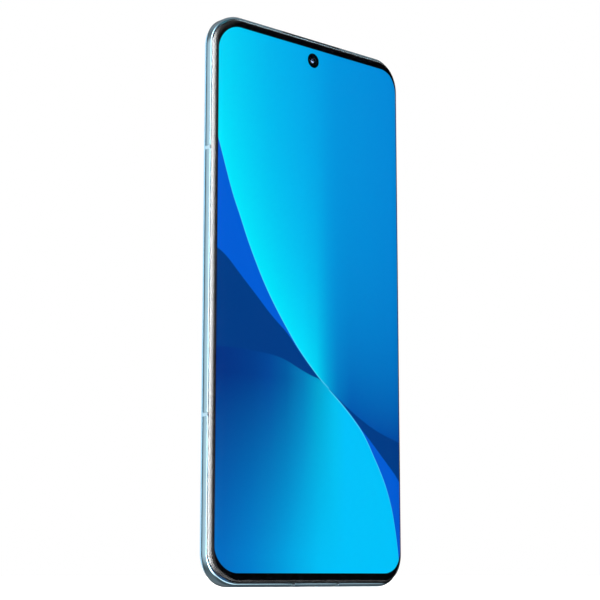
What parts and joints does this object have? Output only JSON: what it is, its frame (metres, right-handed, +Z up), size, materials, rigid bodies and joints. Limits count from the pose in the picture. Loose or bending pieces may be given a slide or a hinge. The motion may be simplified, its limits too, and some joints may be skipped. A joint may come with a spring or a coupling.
{
  "type": "smartphone",
  "caption": "Slab smartphone with side-curved cover glass, punch-hole front camera, light blue metal frame, side keys, card tray and rear cameras.",
  "frame": {"origin": "middle of the lower edge, with the phone standing upright on it", "axes": "+Z up along the phone's length, +X to the right seen from the screen side, -Y out of the screen and +Y out of the back"},
  "size_m": [0.0702, 0.0095, 0.1527],
  "materials": {
    "cover_glass": "polished, clear over the screen and black-printed round its edge",
    "display": "lit screen under the cover glass",
    "anodised_metal": "bead-blasted and anodised light blue",
    "back_glass": "frosted outside, blue film behind",
    "break_plastic": "moulded, polished flush with the metal",
    "plate_metal": "anodised, polished bevel",
    "ring_metal": "polished",
    "lens_glass": "polished, dark inside",
    "black_plastic": "moulded",
    "diffuser": "ribbed inside",
    "circuit_board": "solder mask",
    "steel": "stamped sheet",
    "pouch_foil": "laminated foil",
    "copper": "wound or rolled copper",
    "seal_rubber": "moulded",
    "flex_film": "polyimide film",
    "card_plastic": "moulded",
    "dense_metal": "sintered"
  },
  "bodies": {
    "phone": {"cover_glass": "cover_glass", "display_panel": "display", "mid_frame": "anodised_metal", "aerial_break_left_upper": "break_plastic", "aerial_break_left_lower": "break_plastic", "aerial_break_right_upper": "break_plastic", "aerial_break_right_lower": "break_plastic", "aerial_break_bottom_left": "break_plastic", "aerial_break_bottom_right": "break_plastic", "earpiece_mesh": "black_plastic", "infrared_window": "lens_glass", "vapour_chamber": "copper", "fingerprint_sensor": "black_plastic", "front_camera": "black_plastic", "back_glass": "back_glass", "camera_plate": "plate_metal", "flash_window": "diffuser", "charging_coil": "copper", "main_lens_ring": "ring_metal", "main_lens_window": "lens_glass", "main_camera_body": "black_plastic", "wide_lens_ring": "ring_metal", "wide_lens_window": "lens_glass", "wide_camera_body": "black_plastic", "macro_lens_ring": "ring_metal", "macro_lens_window": "lens_glass", "macro_camera_body": "black_plastic", "key_switch_flex": "flex_film", "tray_reader": "steel", "usb_c_sleeve": "steel", "usb_c_tongue": "black_plastic", "sub_board": "circuit_board", "board_link_flex": "flex_film", "battery": "pouch_foil", "main_board": "circuit_board", "shield_can": "steel", "processor": "black_plastic", "battery_connector": "black_plastic", "loudspeaker_box": "black_plastic", "earpiece_box": "black_plastic", "haptic_motor_housing": "steel", "upper_bracket": "black_plastic", "lower_bracket": "black_plastic", "upper_screw_1": "steel", "upper_screw_2": "steel", "upper_screw_3": "steel", "lower_screw_1": "steel", "lower_screw_2": "steel", "lower_screw_3": "steel"},
    "power_key": {"power_key": "anodised_metal"},
    "volume_key": {"volume_key": "anodised_metal"},
    "card_tray": {"card_tray": "anodised_metal", "tray_seal": "seal_rubber", "sim_card": "card_plastic"},
    "ejector_rod": {"ejector_rod": "steel"},
    "ejector_lever": {"ejector_lever": "steel"},
    "main_lens_barrel": {"main_lens_barrel": "lens_glass"},
    "haptic_mass": {"haptic_motor_mass": "dense_metal"},
    "loudspeaker_cone": {"loudspeaker_cone": "pouch_foil"},
    "earpiece_cone": {"earpiece_cone": "pouch_foil"}
  },
  "joints": [
    {"name": "card_tray_slide", "type": "slide", "parent": "phone", "child": "card_tray", "axis": [0, 0, -1], "range_m": [0, 0.022]},
    {"name": "power_key_press", "type": "slide", "parent": "phone", "child": "power_key", "axis": [-1, 0, 0], "range_m": [0, 0.00025], "stiffness_N_per_m": 2000, "springref_m": -0.00005},
    {"name": "volume_key_rock", "type": "hinge", "parent": "phone", "child": "volume_key", "pos_m": [0.0343, -0.00025, 0.1015], "axis": [0, 1, 0], "range_deg": [-1, 1], "stiffness_Nm_per_rad": 0.5},
    {"name": "ejector_rod_push", "type": "slide", "parent": "phone", "child": "ejector_rod", "axis": [0, 0, 1], "range_m": [0, 0.001]},
    {"name": "ejector_lever_turn", "type": "hinge", "parent": "phone", "child": "ejector_lever", "pos_m": [-0.0185, 0.0003, 0.0218], "axis": [0, -1, 0], "range_deg": [0, 18.6]},
    {"name": "main_lens_focus", "type": "slide", "parent": "phone", "child": "main_lens_barrel", "axis": [0, 1, 0], "range_m": [-0.0003, 0.0003], "stiffness_N_per_m": 100},
    {"name": "haptic_mass_swing", "type": "slide", "parent": "phone", "child": "haptic_mass", "axis": [1, 0, 0], "range_m": [-0.0006, 0.0006], "stiffness_N_per_m": 1300},
    {"name": "loudspeaker_cone_travel", "type": "slide", "parent": "phone", "child": "loudspeaker_cone", "axis": [0, 1, 0], "range_m": [-0.0003, 0.0003], "stiffness_N_per_m": 500},
    {"name": "earpiece_cone_travel", "type": "slide", "parent": "phone", "child": "earpiece_cone", "axis": [0, 1, 0], "range_m": [-0.0003, 0.0003], "stiffness_N_per_m": 500}
  ],
  "couplings": [
    {"joint": "ejector_lever_turn", "follows": "ejector_rod_push", "rad_per_m": 322.58}
  ]
}
